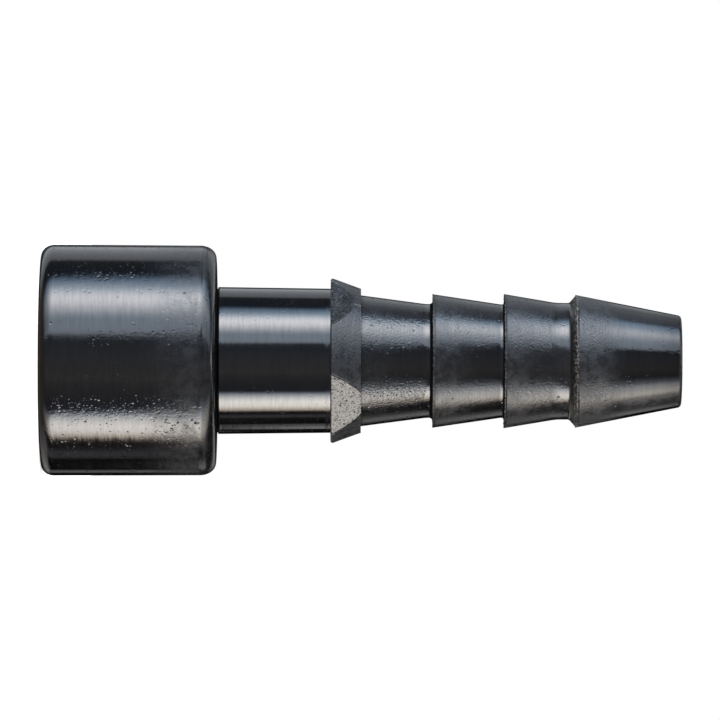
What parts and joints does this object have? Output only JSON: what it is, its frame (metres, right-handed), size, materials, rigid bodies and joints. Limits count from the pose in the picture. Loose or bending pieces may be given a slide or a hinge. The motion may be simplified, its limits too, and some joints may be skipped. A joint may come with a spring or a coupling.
{
  "type": "pneumatic connector contact",
  "caption": "Black plastic pneumatic connector contact with a socketed round head, plain neck, flatted snap collar and barbed hose tail.",
  "frame": {"origin": "centre of the flat front face of the head, on which the contact stands", "axes": "+Z along the contact's axis from the head to the tip of the hose tail; +X and +Y square to the collar's flats"},
  "size_m": [0.009, 0.009, 0.0249],
  "materials": {
    "body": "satin black, turned, with fine pitting"
  },
  "bodies": {
    "root": {"contact_body": "body"}
  },
  "joints": []
}
